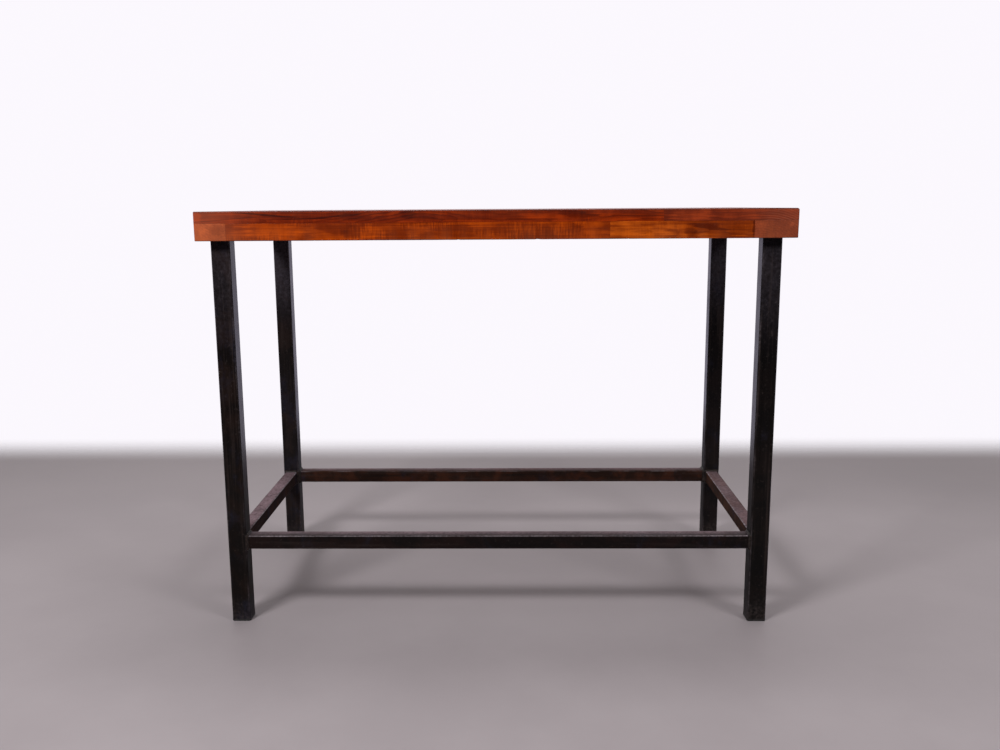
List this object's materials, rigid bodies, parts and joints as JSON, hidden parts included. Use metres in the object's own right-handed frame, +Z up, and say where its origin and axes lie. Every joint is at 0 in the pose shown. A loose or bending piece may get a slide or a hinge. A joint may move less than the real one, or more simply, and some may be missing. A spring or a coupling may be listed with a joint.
{
  "type": "standing-height table",
  "caption": "Fixed-height standing desk: a thick stained-wood top over a welded frame of square black steel tube, with a low ring of rails between the legs.",
  "frame": {"origin": "centre of the footprint, on the floor", "axes": "+X along the length of the top, +Y from the front edge to the back edge, +Z up"},
  "size_m": [1.52, 0.74, 1.11],
  "materials": {
    "board_wood": "reddish-brown stain under a satin lacquer",
    "lipping_wood": "orange-brown stain under a satin lacquer",
    "tube_steel": "blackened mild steel under a semi-gloss clear lacquer",
    "screw_steel": "bright zinc plate",
    "foot_plastic": "moulded black, fine satin texture"
  },
  "bodies": {
    "root": {"top_board_front_left": "board_wood", "top_board_front_right": "board_wood", "top_board_2": "board_wood", "top_board_3": "board_wood", "top_board_4": "board_wood", "top_board_5": "board_wood", "front_lipping_1": "lipping_wood", "front_lipping_2": "lipping_wood", "front_lipping_3": "lipping_wood", "front_lipping_4": "lipping_wood", "back_lipping": "lipping_wood", "left_lipping": "lipping_wood", "right_lipping": "lipping_wood", "leg_front_left": "tube_steel", "leg_front_right": "tube_steel", "leg_back_left": "tube_steel", "leg_back_right": "tube_steel", "lower_rail_front": "tube_steel", "lower_rail_back": "tube_steel", "lower_rail_left": "tube_steel", "lower_rail_right": "tube_steel", "upper_rail_front": "tube_steel", "upper_rail_back": "tube_steel", "upper_rail_left": "tube_steel", "upper_rail_right": "tube_steel", "upper_rail_middle": "tube_steel", "fixing_tab_1": "tube_steel", "fixing_tab_2": "tube_steel", "fixing_tab_3": "tube_steel", "fixing_tab_4": "tube_steel", "fixing_tab_5": "tube_steel", "fixing_tab_6": "tube_steel", "fixing_tab_7": "tube_steel", "fixing_tab_8": "tube_steel", "fixing_screw_1": "screw_steel", "fixing_screw_2": "screw_steel", "fixing_screw_3": "screw_steel", "fixing_screw_4": "screw_steel", "fixing_screw_5": "screw_steel", "fixing_screw_6": "screw_steel", "fixing_screw_7": "screw_steel", "fixing_screw_8": "screw_steel", "foot_front_left": "foot_plastic", "foot_front_right": "foot_plastic", "foot_back_left": "foot_plastic", "foot_back_right": "foot_plastic"}
  },
  "joints": []
}
